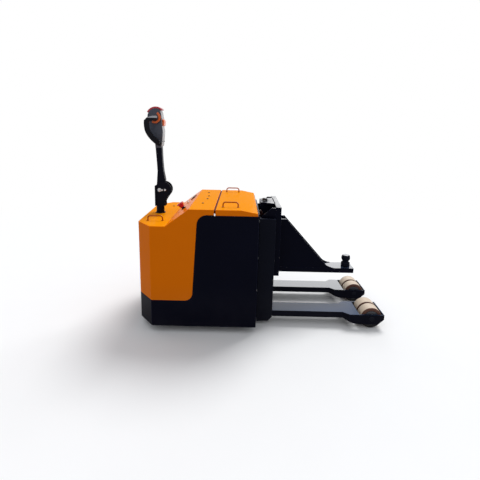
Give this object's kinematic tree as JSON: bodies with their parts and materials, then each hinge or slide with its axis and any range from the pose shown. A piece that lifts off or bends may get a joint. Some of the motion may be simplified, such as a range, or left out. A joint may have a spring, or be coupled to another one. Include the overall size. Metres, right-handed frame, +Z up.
{
  "type": "airport baggage tug",
  "caption": "Pedestrian electric baggage tug: tiller at the front, orange hood, black side panels, support legs with load wheels and a lifting tow ball.",
  "frame": {"origin": "on the floor under the middle of the tug's box", "axes": "+X towards the leg tips and the tow ball, +Y across, +Z up"},
  "size_m": [1.719, 0.8, 1.511],
  "materials": {
    "black_paint": "gloss",
    "frame_paint": "satin",
    "orange_paint": "gloss",
    "bar_zinc": "satin",
    "battery_case": "matte",
    "ram_paint": "satin",
    "steel": "satin",
    "chrome": "gloss",
    "black_plastic": "satin",
    "knob_red": "gloss",
    "button_red": "gloss",
    "key_metal": "satin",
    "meter_glass": "gloss",
    "head_grey": "satin",
    "head_light": "satin",
    "head_orange": "satin",
    "drive_rubber": "matte",
    "castor_tread": "matte",
    "load_tread": "matte",
    "load_core": "satin"
  },
  "bodies": {
    "chassis": {"front_skirt": "black_paint", "side_panel_left": "black_paint", "side_panel_right": "black_paint", "rear_panel": "black_paint", "floor_pan": "frame_paint", "drive_frame": "frame_paint", "front_cover": "orange_paint", "cross_bar": "bar_zinc", "battery": "battery_case", "mast_plate": "frame_paint", "mast_channel_left": "frame_paint", "mast_channel_right": "frame_paint", "lift_cylinder": "ram_paint", "leg_left": "black_paint", "leg_right": "black_paint", "leg_axles": "steel", "stop_stem": "black_plastic", "stop_knob": "knob_red", "key_switch": "key_metal", "meter": "meter_glass", "deck_handle": "orange_paint", "column_bush": "black_plastic"},
    "battery_lid": {"lid": "orange_paint", "lid_handle_left": "orange_paint", "lid_handle_right": "orange_paint"},
    "steering": {"steering_column": "black_paint", "hub_bracket": "black_paint", "hub_bolts": "chrome"},
    "tiller": {"tiller_arm": "black_paint", "tiller_head": "head_grey", "head_cover": "head_light", "head_rocker": "head_orange", "belly_button": "button_red", "thumb_wheels": "head_orange", "hand_guard_left": "black_plastic", "hand_guard_right": "black_plastic"},
    "drive_unit": {"drive_housing": "frame_paint"},
    "drive_wheel": {"drive_hub": "steel", "drive_tyre": "drive_rubber"},
    "castor_left": {"castor_fork_left": "steel"},
    "castor_right": {"castor_fork_right": "steel"},
    "castor_wheel_l": {"castor_wheel_left": "castor_tread"},
    "castor_wheel_r": {"castor_wheel_right": "castor_tread"},
    "load_wheels_l": {"load_hubs_left": "load_core", "load_treads_left": "load_tread"},
    "load_wheels_r": {"load_hubs_right": "load_core", "load_treads_right": "load_tread"},
    "carriage": {"carriage_plate": "black_paint", "carriage_sides": "frame_paint", "carriage_rollers": "steel", "top_bracket": "frame_paint", "lift_rod": "chrome", "hitch_webs": "black_paint", "hitch_plate": "black_paint", "hitch_ball": "black_paint"}
  },
  "joints": [
    {"name": "drive_steer", "type": "hinge", "parent": "chassis", "child": "drive_unit", "pos_m": [-0.6595, 0, 0.29], "axis": [0, 0, 1], "range_deg": [-90, 90]},
    {"name": "tiller_steer", "type": "hinge", "parent": "chassis", "child": "steering", "pos_m": [-0.7715, 0, 0.743], "axis": [0, 0, 1], "range_deg": [-90, 90]},
    {"name": "tiller_tilt", "type": "hinge", "parent": "steering", "child": "tiller", "pos_m": [-0.7685, 0, 0.919], "axis": [0, -1, 0], "range_deg": [0, 75], "stiffness_Nm_per_rad": 16, "springref_deg": -51.57},
    {"name": "drive_spin", "type": "hinge", "parent": "drive_unit", "child": "drive_wheel", "pos_m": [-0.6595, 0, 0.125], "axis": [0, 1, 0], "continuous": true},
    {"name": "castor_swivel_left", "type": "hinge", "parent": "chassis", "child": "castor_left", "pos_m": [-0.6595, -0.282, 0.16], "axis": [0, 0, 1], "continuous": true},
    {"name": "castor_spin_left", "type": "hinge", "parent": "castor_left", "child": "castor_wheel_l", "pos_m": [-0.6245, -0.282, 0.0625], "axis": [0, 1, 0], "continuous": true},
    {"name": "load_spin_left", "type": "hinge", "parent": "chassis", "child": "load_wheels_l", "pos_m": [0.7725, -0.199, 0.075], "axis": [0, 1, 0], "continuous": true},
    {"name": "castor_swivel_right", "type": "hinge", "parent": "chassis", "child": "castor_right", "pos_m": [-0.6595, 0.282, 0.16], "axis": [0, 0, 1], "continuous": true},
    {"name": "castor_spin_right", "type": "hinge", "parent": "castor_right", "child": "castor_wheel_r", "pos_m": [-0.6245, 0.282, 0.0625], "axis": [0, 1, 0], "continuous": true},
    {"name": "load_spin_right", "type": "hinge", "parent": "chassis", "child": "load_wheels_r", "pos_m": [0.7725, 0.199, 0.075], "axis": [0, 1, 0], "continuous": true},
    {"name": "carriage_lift", "type": "slide", "parent": "chassis", "child": "carriage", "axis": [0, 0, 1], "range_m": [0, 0.18]},
    {"name": "lid_lift", "type": "slide", "parent": "chassis", "child": "battery_lid", "axis": [0, 0, 1], "range_m": [0, 0.3]}
  ],
  "couplings": [
    {"joint": "tiller_steer", "follows": "drive_steer", "ratio": 1}
  ]
}
